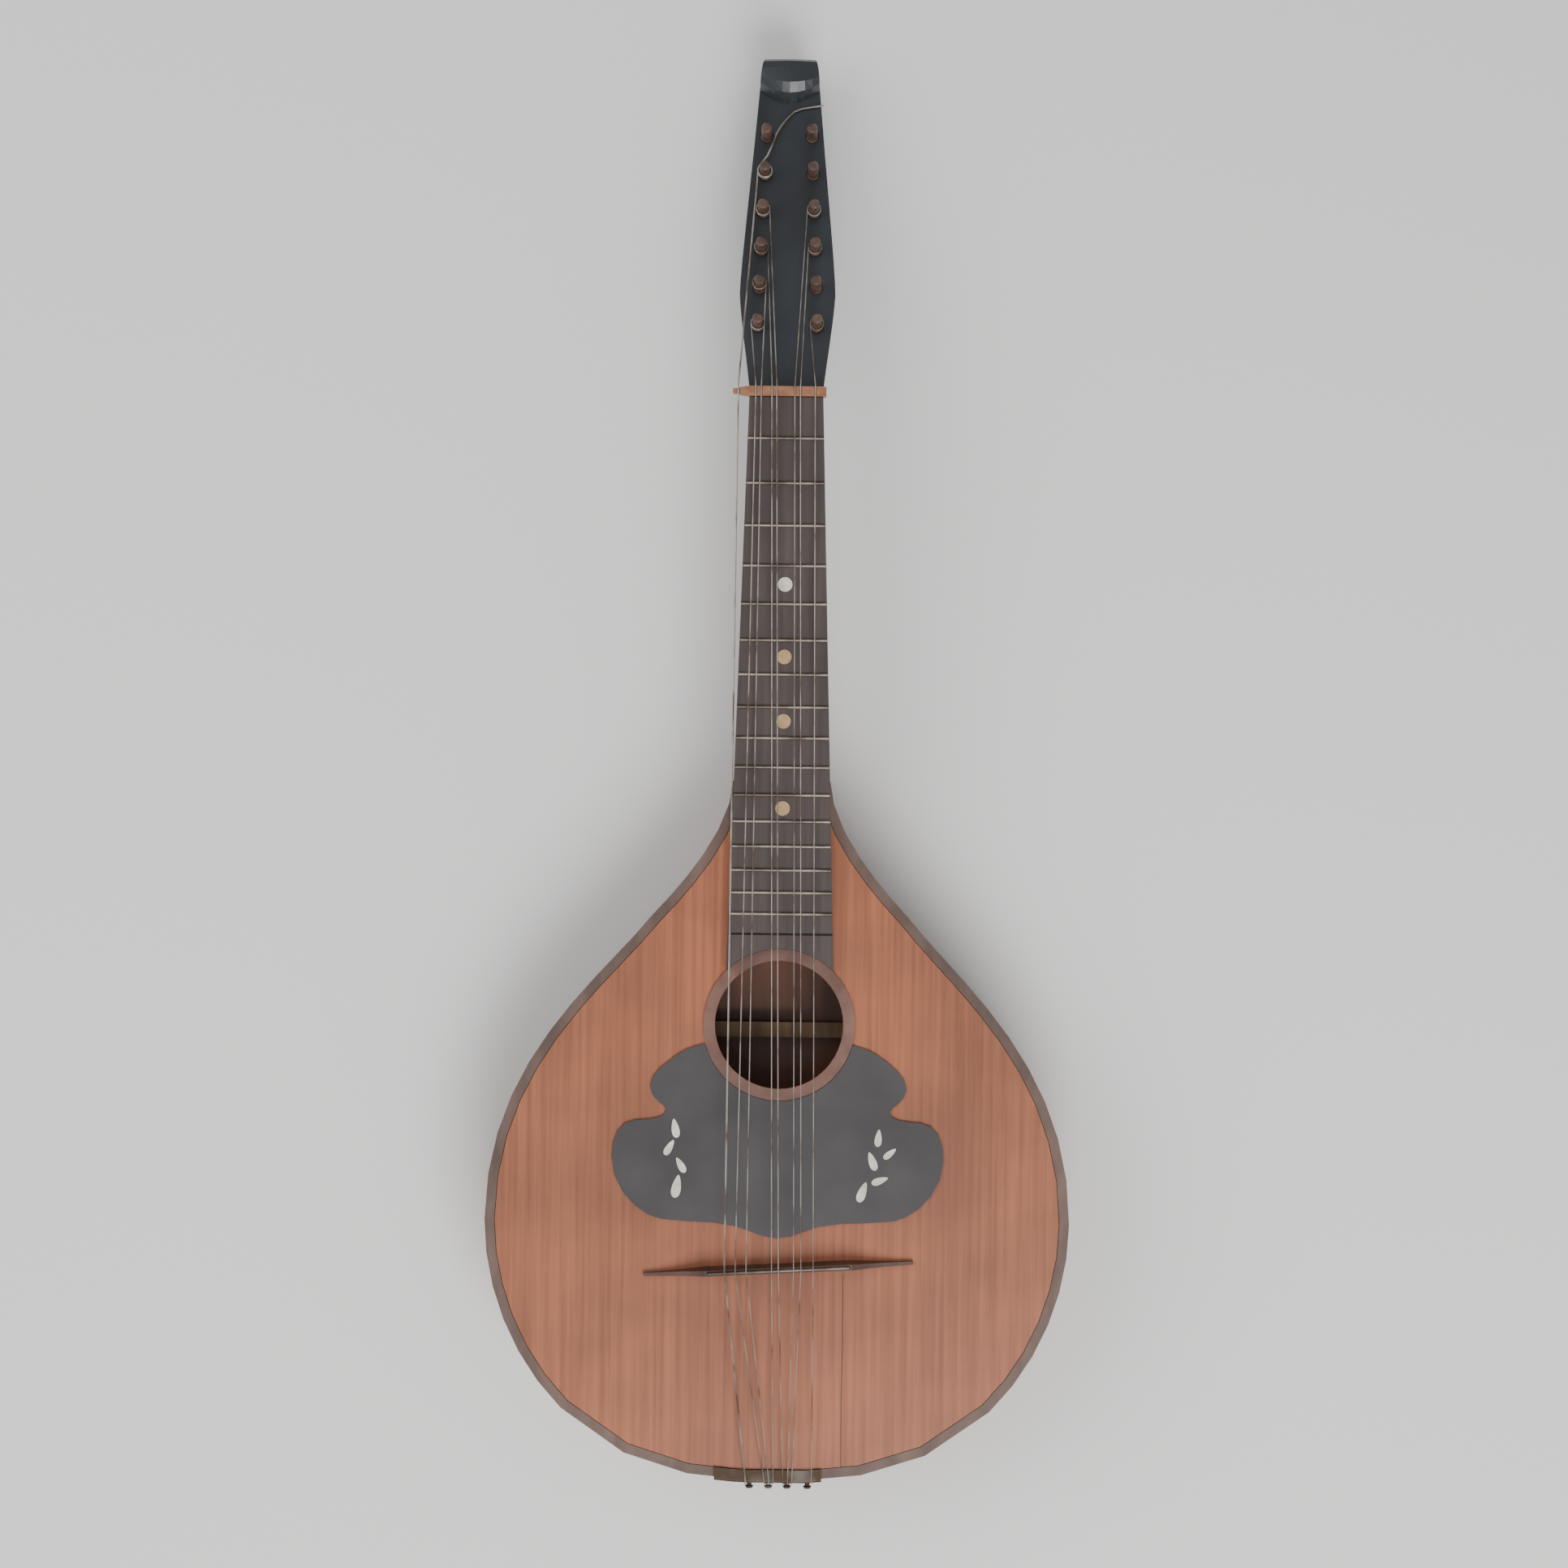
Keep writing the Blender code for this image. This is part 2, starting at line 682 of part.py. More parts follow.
def head_ring(along):
    """Cross-section of the head, whose first ring stands upright against the neck."""
    ease = min(along / 24.0, 1.0)
    depth = neck_depth_nut + (head_thickness - neck_depth_nut) * ease
    squareness = 2.2 + (9.0 - 2.2) * ease
    ring = []
    for x, d in section(width_at(head_outline, along), depth, squareness):
        upright = d * math.sin(tilt) / math.cos(tilt) * (1 - ease)
        ring.append(on_head(x, along + upright, -d))
    return ring


head_top = head_length + finial_length
head_stations = (
    gap, 6.0, 14.0, 24.0, 36.0, 44.0, head_max_at, 57.0, 70.0, 100.0, 130.0, head_length, head_top - 5.0,
    head_top - 0.6)
headstock = loft("headstock", [head_ring(s) for s in head_stations])

# Finial: block at the top that curls forward, lower in its middle than at its sides
finial_rings = []
for i in range(9):
    across = -1 + i / 4
    drop = finial_drop * (1 - across * across)
    rise = finial_rise * (1 - 0.12 * across * across)
    ring = []
    for along, out in (
            (head_top - 1.0, -4.0), (head_top, 0.0), (head_top - 0.5, rise * 0.55), (head_top - 3.0, rise * 0.88),
            (head_top - 7.0, rise), (head_length + 3.5 - drop * 0.5, rise * 0.93),
            (head_length + 1.2 - drop * 0.8, rise * 0.6), (head_length + 0.3 - drop, rise * 0.25),
            (head_length - 1.0 - drop, -0.2), (head_length - 1.5 - drop, -4.0)):
        half = width_at(head_outline, min(along, head_top - 0.1)) - 0.15
        ring.append(on_head(across * half, along, out))
    finial_rings.append(ring)
finial = loft("finial", finial_rings)
boolean(headstock, as_cutter(finial), "UNION")


def peg_place(side, number):
    """Place of a peg on the face of the head: side -1 bass, 1 treble; number 1 is next to the nut."""
    share = (number - 1) / (pegs_per_side - 1)
    half = peg_rows_half_first + (peg_rows_half_last - peg_rows_half_first) * share
    return side * half, peg_first_at + peg_spacing * (number - 1)


shank_back = -head_thickness - gap
for side in (-1, 1):
    for number in range(1, pegs_per_side + 1):
        x, along = peg_place(side, number)
        taper = (peg_shank_radius_back - peg_shank_radius_front) / (head_thickness + gap)
        hole = cylinder(
            "peg_hole_%d_%d" % (side + 2, number), peg_shank_radius_back + gap + taper * 3.0, shank_back - 3.0, 3.0,
            x, along, 14, radius_top=peg_shank_radius_front + gap - taper * 3.0, frame=HEAD)
        boolean(headstock, as_cutter(hole), "DIFFERENCE")
place(smooth(headstock), black_lacquer)


# Tuning peg: turned post and shank, thumb button behind the head
def turned(name, profile, steps):
    """A profile of (radius, height) turned about the z axis, given from top to bottom."""
    mesh = bpy.data.meshes.new(name)
    points = metres([(r, 0.0, z) for r, z in profile])
    mesh.from_pydata(points, [(i, i + 1) for i in range(len(points) - 1)], [])
    obj = bpy.data.objects.new(name, mesh)
    screw = obj.modifiers.new("turned", "SCREW")
    screw.steps = steps
    screw.render_steps = steps
    screw.merge_threshold = 0.000005
    screw.use_merge_vertices = True
    cutters.objects.link(obj)
    bpy.context.view_layer.update()
    return solid_copy(obj, name)


collar_top = shank_back
collar_bottom = collar_top - peg_collar_thickness
button_top = collar_bottom - peg_stem_length
button_centre = button_top - peg_button_length / 2 + 1.5
peg_profile = (
    (0.0, peg_post_height), (peg_post_radius * 0.7, peg_post_height), (peg_post_radius, peg_post_height - 1.0),
    (peg_post_radius, 1.2), (peg_shank_radius_front, 0.2), (peg_shank_radius_back, collar_top),
    (peg_collar_radius, collar_top), (peg_collar_radius, collar_bottom + 0.6), (peg_collar_radius * 0.5, collar_bottom - 0.8),
    (peg_collar_radius * 0.45, button_centre), (0.0, button_centre))
peg_body = turned("peg_body", peg_profile, 14)
as_cutter(peg_body)
button_mesh = bpy.data.meshes.new("peg_button")
button_shape = bmesh.new()
bmesh.ops.create_uvsphere(button_shape, u_segments=12, v_segments=8, radius=1.0)
button_shape.to_mesh(button_mesh)
button_shape.free()
button_mesh.transform(
    Matrix.Translation((0.0, 0.0, button_centre * MM))
    @ Matrix.Diagonal((peg_button_width / 2 * MM, peg_button_thickness / 2 * MM, peg_button_length / 2 * MM, 1.0)))
button = as_cutter(bpy.data.objects.new("peg_button", button_mesh))
string_hole = cylinder(
    "string_hole", peg_hole_radius, -6.0, 6.0, 0.0, 0.0, 6,
    frame=Matrix.Translation((0.0, 0.0, (peg_post_height - 3.0) * MM)) @ Matrix.Rotation(math.pi / 2, 4, "X"))
as_cutter(string_hole)
pattern = bpy.data.objects.new("peg_pattern", peg_body.data.copy())
boolean(pattern, button, "UNION")
boolean(pattern, string_hole, "DIFFERENCE")
cutters.objects.link(pattern)
bpy.context.view_layer.update()
peg_mesh = solid_copy(pattern, "peg_pattern").data
peg_mesh.materials.append(peg_wood)
peg_mesh.shade_smooth()
peg_mesh.set_sharp_from_angle(angle=math.radians(40))
for side, word in ((-1, "bass"), (1, "treble")):
    for number in range(1, pegs_per_side + 1):
        x, along = peg_place(side, number)
        peg = bpy.data.objects.new("peg_%s_%d" % (word, number), peg_mesh)
        turn = math.radians(25.0 + 37.0 * number + 20.0 * side)
        peg.matrix_world = HEAD @ Matrix.Translation((x * MM, along * MM, 0.0)) @ Matrix.Rotation(turn, 4, "Z")
        parts.objects.link(peg)


# Bridge: thin floating bar with swept ends and an arch below, and the saddle wire let into its top
def bridge_ring(x):
    half = bridge_length / 2
    top_half = bridge_top_length / 2 + 1.5
    reach = max(abs(x) - top_half, 0.0) / (half - top_half)
    height = bridge_tip_height + (bridge_height - bridge_tip_height) * (1 - reach) ** 1.7
    arch = max(1 - (2 * x / bridge_arch_length) ** 2, 0.0) ** 0.5 * bridge_arch_height
    foot = bridge_foot_width + (bridge_tip_width - bridge_foot_width) * reach ** 0.8
    top = bridge_top_width + (bridge_tip_width - bridge_top_width) * reach ** 0.8
    return [(x, -foot / 2, arch), (x, foot / 2, arch), (x, top / 2, height), (x, -top / 2, height)]


BRIDGE = (
    Matrix.Translation((bridge_x * MM, bridge_y * MM, bridge_bottom_z * MM))
    @ Matrix.Rotation(math.radians(bridge_skew), 4, "Z"))
half_stations = [bridge_arch_length / 2 * math.sin(i * math.pi / 12) for i in range(7)]
half_stations.append(bridge_top_length / 2 + 1.5)
wing = bridge_length / 2 - half_stations[-1]
half_stations += [half_stations[7] + wing * share for share in (0.14, 0.3, 0.5, 0.75, 1.0)]
bridge_stations = [-x for x in reversed(half_stations[1:])] + half_stations
bridge = loft("bridge", [bridge_ring(x) for x in bridge_stations])
saddle_slot = box(
    "saddle_slot", (-bridge_top_length / 2 - gap, -tang_width / 2 - gap, bridge_height - slot_depth),
    (bridge_top_length / 2 + gap, tang_width / 2 + gap, bridge_height + 2.0))
saddle_slot.data.transform(BRIDGE)
bridge.data.transform(BRIDGE)
boolean(bridge, as_cutter(saddle_slot), "DIFFERENCE")
place(bridge, bridge_wood)

saddle_profile = [
    (saddle_width / 2 * math.cos(a * math.pi / 6), gap + saddle_height * math.sin(a * math.pi / 6)) for a in range(7)]
saddle_profile += [
    (-tang_width / 2, gap), (-tang_width / 2, -tang_depth), (tang_width / 2, -tang_depth), (tang_width / 2, gap)]
saddle = extruded("saddle", (saddle_profile,), -bridge_top_length / 2, bridge_top_length / 2, SIDE_VIEW)
saddle.matrix_world = BRIDGE @ Matrix.Translation((0.0, 0.0, bridge_height * MM))
place(saddle, fret_metal)


# Tail plate: strip folded over the edge of the soundboard, with four headed pins
def tail_edge(x):
    """Y of the body's edge near the tail."""
    half = body_half(0.0)
    for a, b in zip(half, half[1:]):
        if a[0] <= abs(x) <= b[0]:
            return crossing(a, b, 0, abs(x))[1]
    return half[0][1]


plate_top = top_z + gap + plate_metal
fold = [
    (plate_fold_radius * (1 - math.sin(a)), plate_fold_radius * (1 - math.cos(a)))
    for a in (0.0, math.pi / 8, math.pi / 4, math.pi * 3 / 8, math.pi / 2)]
plate_section = [(gap + plate_metal + plate_flange, 0.0)] + fold + [(0.0, plate_drop)]
plate_section = [(-plate_clearance - plate_metal + u, plate_top - v) for u, v in plate_section]
stations = [plate_left + (plate_right - plate_left) * i / 6 for i in range(7)]
plate_points = metres([(x, tail_edge(x) + u, z) for x in stations for u, z in plate_section])
wide = len(plate_section)
plate_faces = [
    (i * wide + j, i * wide + j + 1, (i + 1) * wide + j + 1, (i + 1) * wide + j)
    for i in range(len(stations) - 1) for j in range(wide - 1)]
plate_mesh = bpy.data.meshes.new("tail_plate")
plate_mesh.from_pydata(plate_points, [], plate_faces)
tailpiece = bpy.data.objects.new("tailpiece", plate_mesh)
metal = tailpiece.modifiers.new("metal", "SOLIDIFY")
metal.thickness = plate_metal * MM
metal.offset = -1.0
metal.use_even_offset = True

plate_face_y = tail_y - plate_clearance - plate_metal
PIN_VIEW = Matrix.Rotation(math.pi / 2, 4, "X")
for i, x in enumerate(pin_places):
    centre = Matrix.Translation((x * MM, 0.0, pin_z * MM)) @ PIN_VIEW
    reach = -plate_face_y
    shaft = cylinder("pin_%d" % (i + 1), pin_radius, reach - 1.4, reach + pin_length - 0.3, 0.0, 0.0, 12, frame=centre)
    head = cylinder(
        "pin_head_%d" % (i + 1), pin_head_radius, reach + pin_length - pin_head_thickness, reach + pin_length,
        0.0, 0.0, 12, radius_top=pin_head_radius * 0.7, frame=centre)
    boolean(tailpiece, as_cutter(shaft), "UNION")
    boolean(tailpiece, as_cutter(head), "UNION")
place(tailpiece, rusty_steel)


# Strings: each one tube from its loop on a pin, over the plate, saddle and nut, to its turns on a peg
def saddle_y(x):
    return bridge_y + (x - bridge_x) * math.tan(math.radians(bridge_skew))


def hitch(radius, pin, edge_x, row):
    """Loop round a pin and the shank that rises to the folded edge of the plate."""
    pin_x = pin_places[pin]
    side = 1 if edge_x > 0 else -1
    loop_radius = pin_radius + gap + radius
    y = plate_face_y - gap - radius - 0.95 * row
    points = []
    steps = string_loop_steps * 3 // 4
    for i in range(steps + 1):
        a = math.pi / 2 + i / steps * 1.5 * math.pi
        points.append((pin_x + side * loop_radius * math.cos(a), y, pin_z + loop_radius * math.sin(a)))
    fold_radius = plate_fold_radius + gap + radius
    fold_y = plate_face_y + plate_fold_radius
    fold_z = plate_top - plate_fold_radius
    top_x = pin_x + edge_x
    for i in range(5):
        a = math.radians(180 - 87 * i / 4)
        lean = 1 - i / 4
        points.append((
            top_x * (1 - 0.1 * lean) + (pin_x + side * loop_radius) * 0.1 * lean,
            fold_y + fold_radius * math.cos(a), fold_z + fold_radius * math.sin(a)))
    return points


def wind(radius, start, peg, side, turns, pitch, low):
    """Turns round a post, in the frame of the head, from the tangent that comes from start."""
    centre = Vector(peg_place(*peg))
    wrap = peg_post_radius + gap + radius
    line = centre - Vector(start[:2])
    heading = math.atan2(line.y, line.x) - side * math.asin(wrap / line.length)
    first = heading - side * math.pi / 2
    points = []
    steps = int(turns * string_loop_steps)
    for i in range(steps + 1):
        turn = i / string_loop_steps
        a = first + side * turn * 2 * math.pi
        points.append((
            centre.x + wrap * math.cos(a), centre.y + wrap * math.sin(a), low + turn * pitch))
    return points


def on_head_frame(point):
    """Place on the head, in millimetres, of a world point."""
    return tuple(c / MM for c in HEAD.inverted() @ (Vector(point) * MM))


def tube(name, points, radius, mat):
    curve = bpy.data.curves.new(name, "CURVE")
    curve.dimensions = "3D"
    curve.bevel_depth = radius * MM
    curve.bevel_resolution = string_sides_resolution
    curve.use_fill_caps = True
    spline = curve.splines.new("POLY")
    spline.points.add(len(points) - 1)
    for point, co in zip(spline.points, metres(points)):
        point.co = (*co, 1.0)
    return place(bpy.data.objects.new(name, curve), mat)


def least_self_gap(points, radius):
    """Least air between stretches of one tube that are more than a few diameters apart along it."""
    least = 1000.0
    along = [0.0]
    for a, b in zip(points, points[1:]):
        along.append(along[-1] + (Vector(b) - Vector(a)).length)
    for i, a in enumerate(points):
        for j in range(i + 1, len(points)):
            if along[j] - along[i] > 8 * radius:
                least = min(least, (Vector(points[j]) - Vector(a)).length)
    return least - 2 * radius


nut_back_y = nut_front_y + nut_thickness
for index, (radius, bridge_at, nut_at, pin, edge_x, row, peg, side, turns, pitch) in enumerate(strings):
    route = hitch(radius, pin, edge_x, row)
    saddle_z = saddle_top_z + string_clear_saddle + radius
    route.append((bridge_at, saddle_y(bridge_at), saddle_z))
    nut_z = nut_notch_z + gap + radius
    route.append((nut_at, nut_front_y - 0.5, nut_z))
    leave = (nut_at, nut_back_y + 0.5, nut_z)
    route.append(leave)
    low = coil_start_of.get(index + 1, coil_start) + radius
    coil = wind(radius, on_head_frame(leave), peg, side, turns, pitch, low)
    if index == 0:
        coil += [tuple(p) for p in loose_end]
    route += [on_head(*p) for p in coil]
    tube("string_%d" % (index + 1), route, radius, steel)
    print("string_%d least gap to itself %.2f mm" % (index + 1, least_self_gap(route, radius)))
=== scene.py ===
# Waldzither seen from above on a pale floor.
import math
import bpy
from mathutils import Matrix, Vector


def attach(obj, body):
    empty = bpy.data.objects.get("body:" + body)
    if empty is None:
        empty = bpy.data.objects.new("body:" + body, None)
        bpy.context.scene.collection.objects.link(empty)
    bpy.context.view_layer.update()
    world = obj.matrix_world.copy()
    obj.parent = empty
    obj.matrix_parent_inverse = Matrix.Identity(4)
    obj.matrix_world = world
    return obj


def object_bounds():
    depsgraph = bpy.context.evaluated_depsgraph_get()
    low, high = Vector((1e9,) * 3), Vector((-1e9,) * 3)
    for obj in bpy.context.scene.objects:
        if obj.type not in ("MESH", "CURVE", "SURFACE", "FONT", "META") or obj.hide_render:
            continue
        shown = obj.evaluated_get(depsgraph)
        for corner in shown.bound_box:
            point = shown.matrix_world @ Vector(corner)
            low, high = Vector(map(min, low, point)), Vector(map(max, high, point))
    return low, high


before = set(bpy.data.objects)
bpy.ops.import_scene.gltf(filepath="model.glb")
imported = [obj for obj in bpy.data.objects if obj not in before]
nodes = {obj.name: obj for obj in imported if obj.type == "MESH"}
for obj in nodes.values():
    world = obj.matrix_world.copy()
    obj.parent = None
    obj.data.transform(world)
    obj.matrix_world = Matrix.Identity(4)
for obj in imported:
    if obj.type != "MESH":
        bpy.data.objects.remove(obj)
packed_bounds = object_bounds()


def wood(name, dark, light, roughness, across, along, dirt=0.0):
    """Varnished wood with grain lines along the neck; dirt darkens it in soft clouds."""
    mat = bpy.data.materials.new(name)
    mat.use_nodes = True
    tree = mat.node_tree
    shader = tree.nodes["Principled BSDF"]
    shader.inputs["Coat Weight"].default_value = 0.15
    coords = tree.nodes.new("ShaderNodeTexCoord")
    stretch = tree.nodes.new("ShaderNodeMapping")
    stretch.inputs["Scale"].default_value = (across, along, across)
    grain = tree.nodes.new("ShaderNodeTexNoise")
    grain.inputs["Scale"].default_value = 1.0
    grain.inputs["Detail"].default_value = 6.0
    ramp = tree.nodes.new("ShaderNodeValToRGB")
    ramp.color_ramp.elements[0].position = 0.3
    ramp.color_ramp.elements[0].color = (*dark, 1.0)
    ramp.color_ramp.elements[1].position = 0.7
    ramp.color_ramp.elements[1].color = (*light, 1.0)
    cloud = tree.nodes.new("ShaderNodeTexNoise")
    cloud.inputs["Scale"].default_value = 14.0
    cloud.inputs["Detail"].default_value = 4.0
    shade = tree.nodes.new("ShaderNodeMapRange")
    shade.inputs["From Min"].default_value = 0.35
    shade.inputs["From Max"].default_value = 0.65
    shade.inputs["To Min"].default_value = 1.0 - dirt
    shade.inputs["To Max"].default_value = 1.0
    mix = tree.nodes.new("ShaderNodeVectorMath")
    mix.operation = "SCALE"
    rough = tree.nodes.new("ShaderNodeMapRange")
    rough.inputs["To Min"].default_value = roughness + 0.12
    rough.inputs["To Max"].default_value = roughness - 0.08
    bump = tree.nodes.new("ShaderNodeBump")
    bump.inputs["Strength"].default_value = 0.08
    bump.inputs["Distance"].default_value = 0.0005
    link = tree.links.new
    link(coords.outputs["Object"], stretch.inputs["Vector"])
    link(stretch.outputs["Vector"], grain.inputs["Vector"])
    link(coords.outputs["Object"], cloud.inputs["Vector"])
    link(grain.outputs["Fac"], ramp.inputs["Fac"])
    link(cloud.outputs["Fac"], shade.inputs["Value"])
    link(ramp.outputs["Color"], mix.inputs[0])
    link(shade.outputs["Result"], mix.inputs["Scale"])
    link(mix.outputs["Vector"], shader.inputs["Base Color"])
    link(cloud.outputs["Fac"], rough.inputs["Value"])
    link(rough.outputs["Result"], shader.inputs["Roughness"])
    link(grain.outputs["Fac"], bump.inputs["Height"])
    link(bump.outputs["Normal"], shader.inputs["Normal"])
    return mat


def metal(name, bright, rust, roughness, share):
    """Worn metal with rust or grime in patches; share is how much of it is rusted."""
    mat = bpy.data.materials.new(name)
    mat.use_nodes = True
    tree = mat.node_tree
    shader = tree.nodes["Principled BSDF"]
    coords = tree.nodes.new("ShaderNodeTexCoord")
    patches = tree.nodes.new("ShaderNodeTexNoise")
    patches.inputs["Scale"].default_value = 60.0
    patches.inputs["Detail"].default_value = 6.0
    ramp = tree.nodes.new("ShaderNodeValToRGB")
    ramp.color_ramp.elements[0].position = share - 0.1
    ramp.color_ramp.elements[0].color = (*rust, 1.0)
    ramp.color_ramp.elements[1].position = share + 0.1
    ramp.color_ramp.elements[1].color = (*bright, 1.0)
    shader.inputs["Metallic"].default_value = 0.8
    shader.inputs["Roughness"].default_value = roughness
    tree.links.new(coords.outputs["Object"], patches.inputs["Vector"])
    tree.links.new(patches.outputs["Fac"], ramp.inputs["Fac"])
    tree.links.new(ramp.outputs["Color"], shader.inputs["Base Color"])
    return mat


def dress(mat, *names):
    for name in names:
        nodes[name].data.materials.clear()
        nodes[name].data.materials.append(mat)


# Soundboard: red-brown spruce with fine straight grain, dirty in clouds.
dress(wood("soundboard_spruce", (0.27, 0.08, 0.03), (0.42, 0.13, 0.055), 0.42, 420.0, 8.0, 0.30), "soundboard")

# Back, ribs and neck: darker stained maple.
dress(wood("stained_maple", (0.14, 0.05, 0.025), (0.24, 0.08, 0.04), 0.38, 160.0, 10.0, 0.25),
      "back_plate", "rib_right", "rib_left", "neck")

# Bare wood inside the body: blocks, linings and braces.
dress(wood("bare_softwood", (0.16, 0.09, 0.05), (0.28, 0.17, 0.09), 0.8, 200.0, 8.0, 0.4),
      "tail_block", "neck_block", "top_lining_right", "top_lining_left", "back_lining_right", "back_lining_left",
      "top_brace_upper", "top_brace_lower", "back_brace_upper", "back_brace_lower")

# Edge binding and soundhole ring: worn dark wood.
dress(wood("binding_wood", (0.09, 0.05, 0.035), (0.17, 0.10, 0.075), 0.5, 90.0, 40.0, 0.35), "edge_binding")
dress(wood("ring_wood", (0.12, 0.05, 0.035), (0.21, 0.10, 0.07), 0.5, 90.0, 60.0, 0.35), "soundhole_ring")

# Pickguard: dark plate with a dull sheen.
dress(wood("dark_plate", (0.040, 0.034, 0.036), (0.062, 0.054, 0.057), 0.4, 30.0, 30.0, 0.25), "pickguard")

# Fretboard and bridge: nearly black wood.
dress(wood("board_wood", (0.045, 0.030, 0.027), (0.085, 0.060, 0.053), 0.5, 250.0, 10.0, 0.30), "fretboard")
dress(wood("bridge_wood", (0.05, 0.022, 0.014), (0.10, 0.045, 0.028), 0.45, 60.0, 60.0, 0.2), "bridge")

# Headstock: black lacquer with a blue-grey sheen, and dark turned pegs.
dress(wood("black_lacquer", (0.018, 0.020, 0.024), (0.032, 0.036, 0.042), 0.32, 40.0, 12.0, 0.3), "headstock")
dress(wood("peg_wood", (0.06, 0.032, 0.022), (0.13, 0.075, 0.05), 0.45, 200.0, 200.0, 0.2),
      *["peg_%s_%d" % (side, number) for side in ("bass", "treble") for number in range(1, 7)])

# Nut: orange-brown wood.
dress(wood("nut_wood", (0.26, 0.10, 0.045), (0.40, 0.17, 0.08), 0.5, 120.0, 300.0, 0.25), "nut")

# Frets, saddle and tail plate: tarnished and rusted metal.
dress(metal("fret_metal", (0.30, 0.25, 0.20), (0.12, 0.09, 0.07), 0.45, 0.48),
      "saddle", *["fret_%02d" % number for number in range(1, 17)])
dress(metal("rusty_steel", (0.14, 0.12, 0.10), (0.07, 0.045, 0.03), 0.6, 0.55), "tailpiece")

# Strings: thin steel wires, darker where they have rusted.
dress(metal("string_steel", (0.42, 0.37, 0.32), (0.16, 0.11, 0.08), 0.4, 0.45),
      *["string_%d" % number for number in range(1, 9)])


def disc(name, points, z, thickness, mat):
    """Flat inlay from an outline in metres, riding on the instrument."""
    curve = bpy.data.curves.new(name, "CURVE")
    curve.dimensions = "2D"
    curve.fill_mode = "BOTH"
    curve.extrude = thickness / 2
    spline = curve.splines.new("POLY")
    spline.points.add(len(points) - 1)
    for point, (x, y) in zip(spline.points, points):
        point.co = (x, y, 0.0, 1.0)
    spline.use_cyclic_u = True
    made = bpy.data.objects.new(name + "_curve", curve)
    bpy.context.scene.collection.objects.link(made)
    bpy.context.view_layer.update()
    mesh = bpy.data.meshes.new_from_object(made.evaluated_get(bpy.context.evaluated_depsgraph_get()))
    bpy.data.objects.remove(made)
    obj = bpy.data.objects.new(name, mesh)
    obj.location.z = z
    bpy.context.scene.collection.objects.link(obj)
    mesh.materials.clear()
    mesh.materials.append(mat)
    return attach(obj, "instrument")


# Position dots in the fretboard: one pearl, three tan.
tan = wood("tan_dot", (0.38, 0.24, 0.11), (0.52, 0.34, 0.17), 0.4, 300.0, 300.0)
pearl = wood("pearl", (0.55, 0.50, 0.40), (0.78, 0.76, 0.66), 0.25, 120.0, 160.0)
for index, (y, mat) in enumerate(((0.3314, pearl), (0.2940, tan), (0.2608, tan), (0.2159, tan))):
    ring = [(0.0005 + 0.00375 * math.cos(a * math.pi / 16), y + 0.00375 * math.sin(a * math.pi / 16)) for a in range(32)]
    disc("dot_%d" % (index + 1), ring, 0.0714, 0.0003, mat)

# Pickguard inlay: a generic spray of pearl leaves on each lobe.
leaves = ((-0.052, 0.020, 80, 12), (-0.050, 0.031, 120, 9), (-0.056, 0.040, 60, 9), (-0.053, 0.050, 100, 10),
          (0.044, 0.018, 70, 11), (0.053, 0.024, 20, 9), (0.049, 0.034, 110, 10), (0.058, 0.038, 40, 8), (0.052, 0.046, 85, 9))
for index, (x, y, heading, length) in enumerate(leaves):
    turn = math.radians(heading)
    outline = []
    for step in range(24):
        a = step * math.pi / 12
        u = length / 2000 * math.cos(a)
        v = length / 5200 * math.sin(a) * (1 - 0.4 * math.cos(a))
        outline.append((x + u * math.cos(turn) - v * math.sin(turn), y + u * math.sin(turn) + v * math.cos(turn)))
    disc("leaf_%d" % (index + 1), outline, 0.0673, 0.0003, pearl)

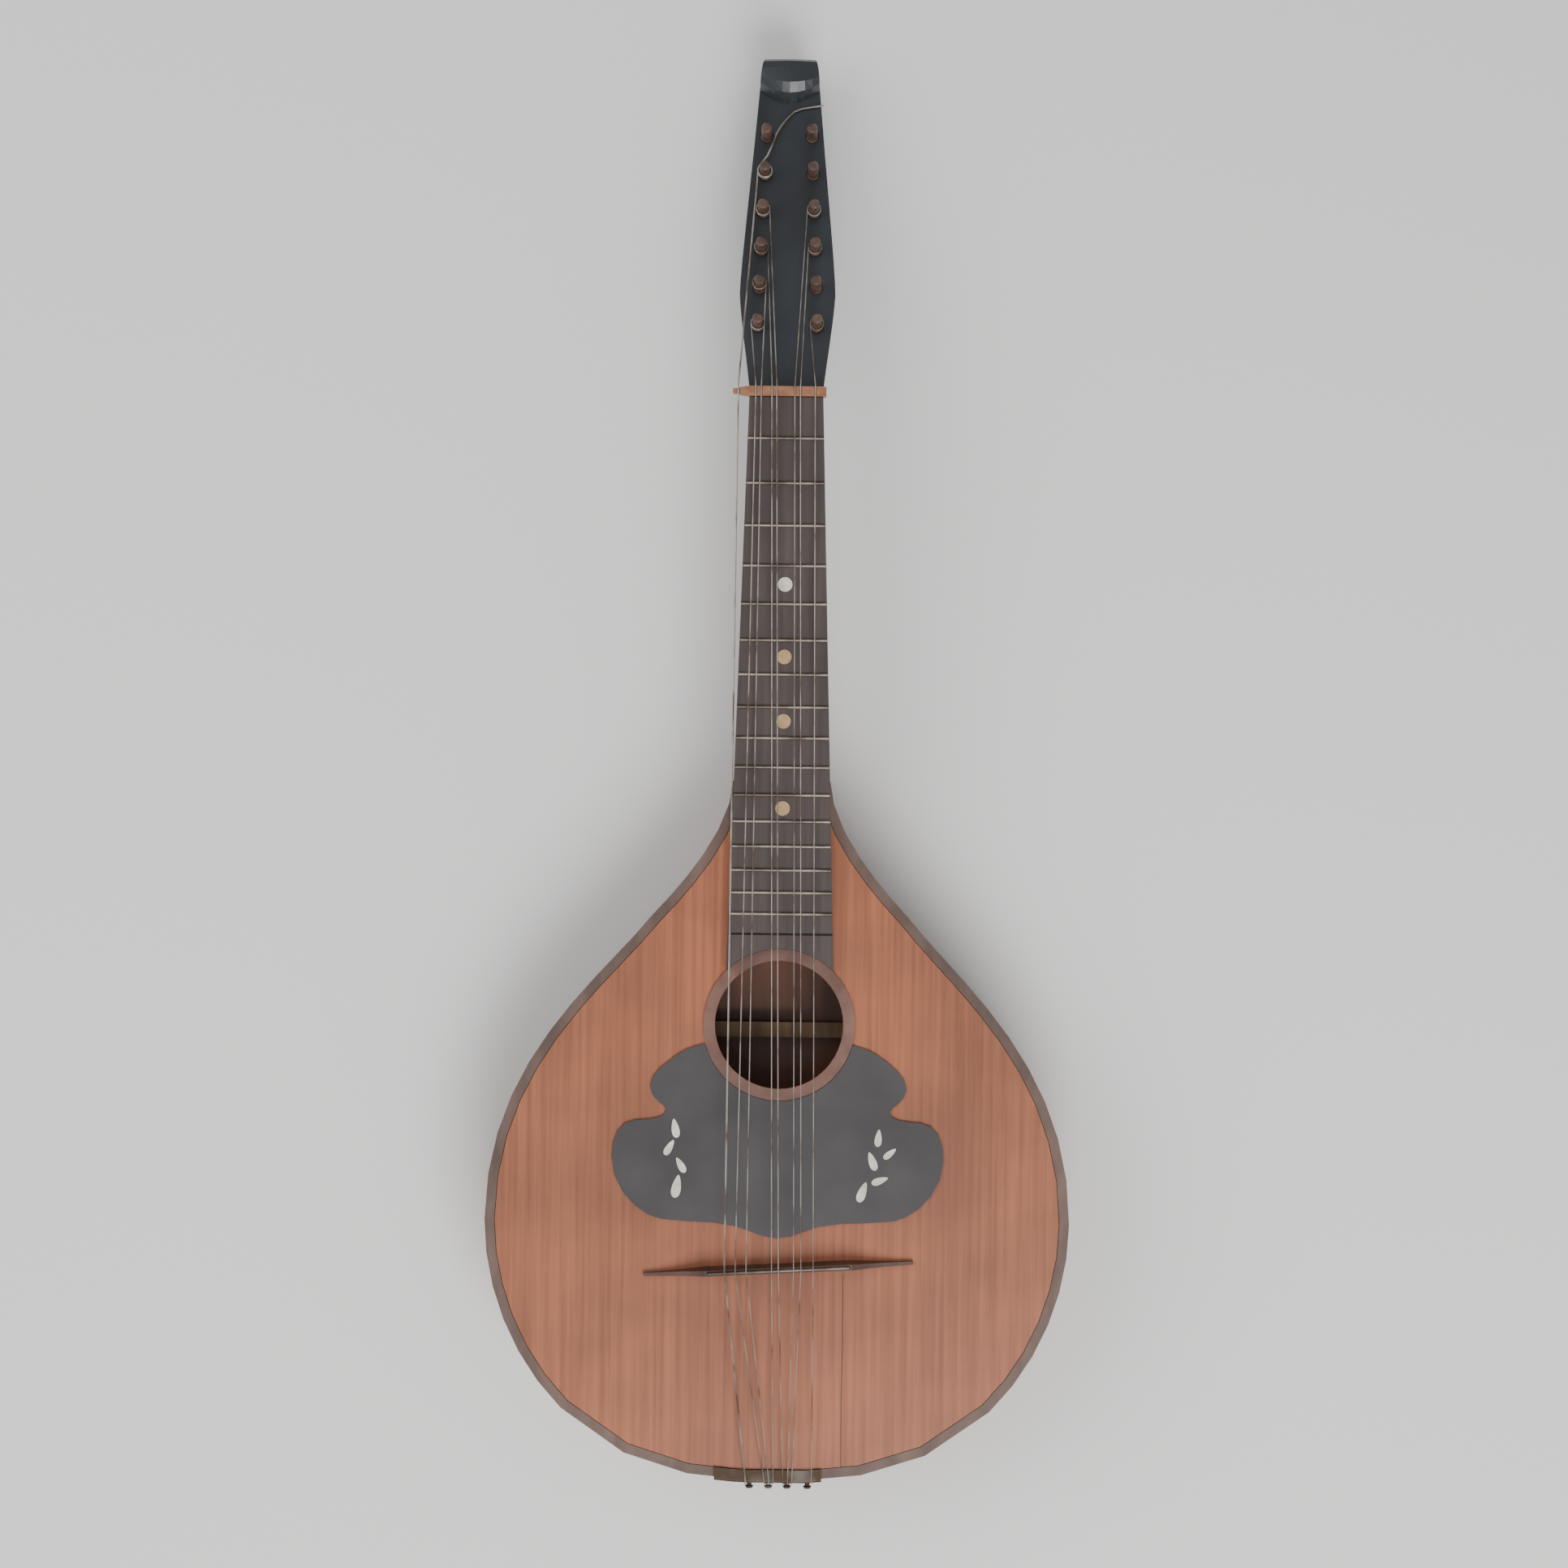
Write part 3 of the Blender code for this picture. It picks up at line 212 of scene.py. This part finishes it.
# Crack in the soundboard, right of the middle.
crack_mat = bpy.data.materials.new("crack")
crack_mat.use_nodes = True
crack_mat.node_tree.nodes["Principled BSDF"].inputs["Base Color"].default_value = (0.02, 0.01, 0.008, 1.0)
crack_line = [(0.0346, -0.025), (0.0349, -0.06), (0.0345, -0.09), (0.0348, -0.125),
              (0.0344, -0.125), (0.0341, -0.09), (0.0345, -0.06), (0.0343, -0.025)]
disc("crack", crack_line, 0.06602, 0.00008, crack_mat)

# Floor: pale and even.
bpy.ops.mesh.primitive_plane_add(size=12.0, location=(0.0, 0.2, packed_bounds[0].z))
floor = bpy.context.object
paint = bpy.data.materials.new("floor")
paint.use_nodes = True
paint.node_tree.nodes["Principled BSDF"].inputs["Base Color"].default_value = (0.82, 0.81, 0.79, 1.0)
paint.node_tree.nodes["Principled BSDF"].inputs["Roughness"].default_value = 0.8
floor.data.materials.append(paint)

# Lights: a large soft one from the tail side, a weaker one from the left, and pale surroundings.
for name, place, power, size in (("key", (0.5, -1.3, 2.0), 55.0, 1.4), ("fill", (-1.6, 0.6, 1.8), 22.0, 1.8)):
    data = bpy.data.lights.new(name, "AREA")
    data.energy = power
    data.size = size
    lamp = bpy.data.objects.new(name, data)
    lamp.location = place
    lamp.rotation_euler = (Vector((0.0, 0.2, 0.0)) - Vector(place)).to_track_quat("-Z", "Y").to_euler()
    bpy.context.scene.collection.objects.link(lamp)
world = bpy.data.worlds.new("room")
world.use_nodes = True
world.node_tree.nodes["Background"].inputs["Color"].default_value = (0.95, 0.97, 1.0, 1.0)
world.node_tree.nodes["Background"].inputs["Strength"].default_value = 0.55
bpy.context.scene.world = world

# Camera: straight above, turned slightly so that the head leans to the right.
lens = bpy.data.cameras.new("camera")
lens.lens = 80.0
lens.sensor_width = 36.0
camera = bpy.data.objects.new("camera", lens)
camera.location = (0.0011, 0.2285, 0.066 + 1.802)
camera.rotation_euler = (0.0, 0.0, math.radians(0.67))
bpy.context.scene.collection.objects.link(camera)
bpy.context.scene.camera = camera
